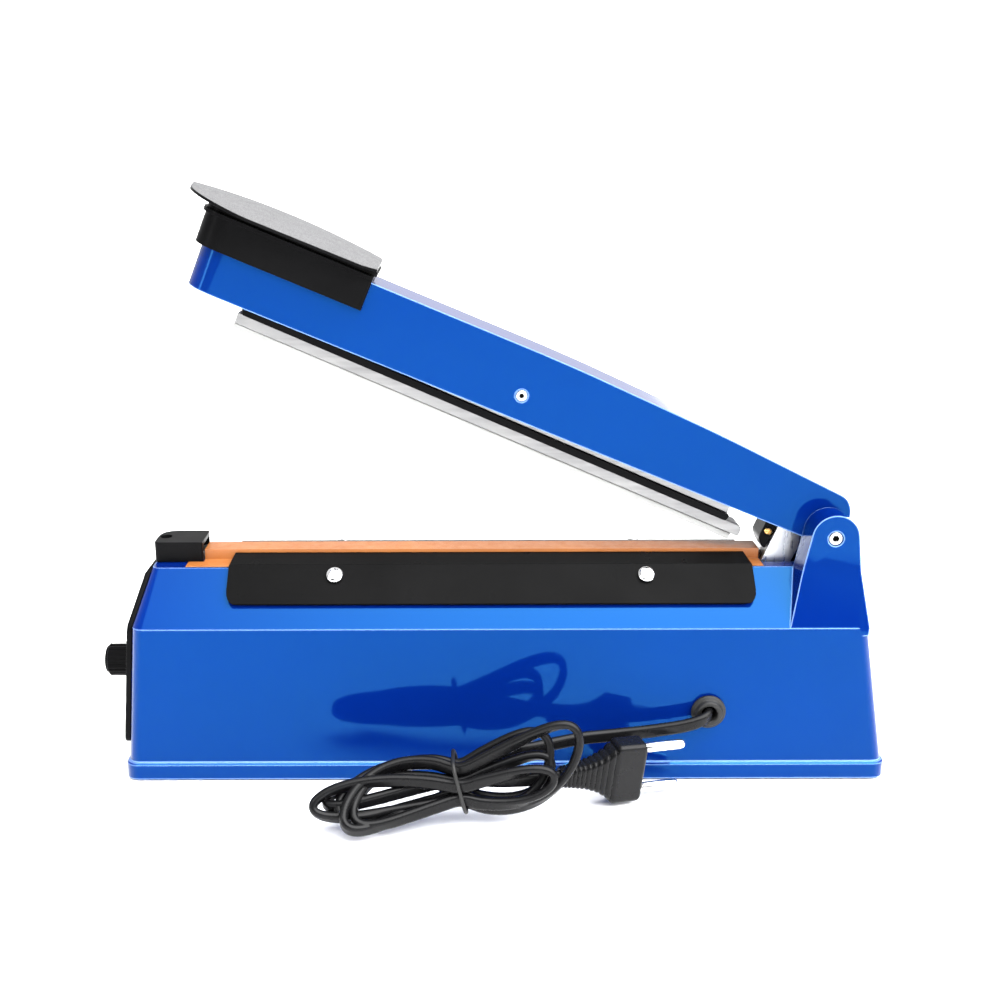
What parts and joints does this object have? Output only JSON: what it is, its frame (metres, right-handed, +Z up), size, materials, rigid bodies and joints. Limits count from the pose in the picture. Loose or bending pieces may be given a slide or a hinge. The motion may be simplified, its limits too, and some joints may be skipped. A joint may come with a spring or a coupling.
{
  "type": "impulse heat sealer",
  "caption": "Hand impulse heat sealer: tall tapered base with a sealing bed, hinged lever arm with a floating seal bar and palm pad, timer knob, bundled mains cord and plug.",
  "frame": {"origin": "on the table, under the middle of the sealer's length and width, measured without the free cord and its plug", "axes": "+X along the base from the timer knob to the hinge, +Y away from the side where the cord comes out, +Z up"},
  "size_m": [0.3368, 0.1289, 0.245],
  "materials": {
    "blue_abs": "glossy moulded ABS with slightly rounded edges",
    "black_abs": "fine textured black plastic",
    "black_steel": "satin black lacquer on pressed sheet",
    "grey_pad": "fine speckled matt grey",
    "plated_steel": "zinc plated",
    "chrome_pin": "bright nickel plate",
    "brass": "turned",
    "aluminium": "satin extrusion",
    "nichrome": "flat ribbon",
    "ptfe_cloth": "woven glass cloth with a smooth coating",
    "silicone_white": "smooth soft white",
    "black_rubber": "matt",
    "black_pvc": "soft satin",
    "copper_winding": "enamelled winding under varnish",
    "board_green": "solder mask",
    "lamp_red": "clear red lens",
    "button_red": "moulded",
    "wire_sleeve": "glass braid sleeve"
  },
  "bodies": {
    "base": {"base_housing": "blue_abs", "bottom_cover": "black_steel", "control_panel": "black_abs", "indicator_lamp": "lamp_red", "potentiometer": "plated_steel", "timer_board": "board_green", "board_relay": "black_abs", "board_capacitor": "black_pvc", "transformer_core": "black_steel", "transformer_coil": "copper_winding", "transformer_strap": "plated_steel", "micro_switch": "black_abs", "heater_end_cover": "black_abs", "end_cover_screw": "plated_steel", "heater_bar": "aluminium", "heating_element": "nichrome", "ptfe_sheet": "ptfe_cloth", "clamp_plate_front": "black_steel", "clamp_plate_rear": "black_steel", "terminal_left": "brass", "terminal_right": "brass", "hinge_bolt": "plated_steel", "hinge_nut": "plated_steel", "return_spring": "plated_steel", "cord_grommet": "black_rubber", "wire_heater_left": "wire_sleeve", "wire_heater_right": "wire_sleeve", "cord_lead": "black_pvc", "cord_hank": "black_pvc", "cord_tie": "black_rubber", "plug_body": "black_pvc", "plug_pin_1": "chrome_pin", "plug_pin_2": "chrome_pin", "clamp_screw_front_1": "chrome_pin", "clamp_screw_front_2": "chrome_pin", "clamp_screw_rear_1": "chrome_pin", "clamp_screw_rear_2": "chrome_pin", "foot_front_left": "black_rubber", "cover_screw_front_left": "plated_steel", "foot_rear_left": "black_rubber", "cover_screw_rear_left": "plated_steel", "foot_front_right": "black_rubber", "cover_screw_front_right": "plated_steel", "foot_rear_right": "black_rubber", "cover_screw_rear_right": "plated_steel"},
    "arm": {"arm_shell": "blue_abs", "handle_saddle": "black_abs", "handle_pad": "grey_pad", "arm_bracket": "plated_steel", "bracket_block": "black_abs", "block_screw": "brass", "pivot_pin": "plated_steel", "pivot_nut": "plated_steel"},
    "seal_bar": {"seal_carrier": "aluminium", "carrier_trim": "black_abs", "strip_holder": "aluminium", "silicone_strip": "silicone_white"},
    "knob": {"timer_knob": "black_abs"},
    "switch_button": {"micro_switch_button": "button_red"}
  },
  "joints": [
    {"name": "arm_hinge", "type": "hinge", "parent": "base", "child": "arm", "pos_m": [0.1429, 0, 0.103], "axis": [0, -1, 0], "range_deg": [0, 18.9], "stiffness_Nm_per_rad": 1.2, "springref_deg": -28.65},
    {"name": "seal_bar_rock", "type": "hinge", "parent": "arm", "child": "seal_bar", "pos_m": [0.0142, 0, 0.1602], "axis": [0, -1, 0], "range_deg": [0, 4.8]},
    {"name": "timer_knob_turn", "type": "hinge", "parent": "base", "child": "knob", "pos_m": [-0.16, 0, 0.0392], "axis": [-1, 0, 0], "range_deg": [0, 280]},
    {"name": "micro_switch_press", "type": "slide", "parent": "base", "child": "switch_button", "axis": [1, 0, 0], "range_m": [0, 0.0013]}
  ],
  "couplings": [
    {"joint": "seal_bar_rock", "follows": "arm_hinge", "ratio": 0.2476},
    {"joint": "micro_switch_press", "follows": "arm_hinge", "m_per_rad": 0.0036}
  ]
}
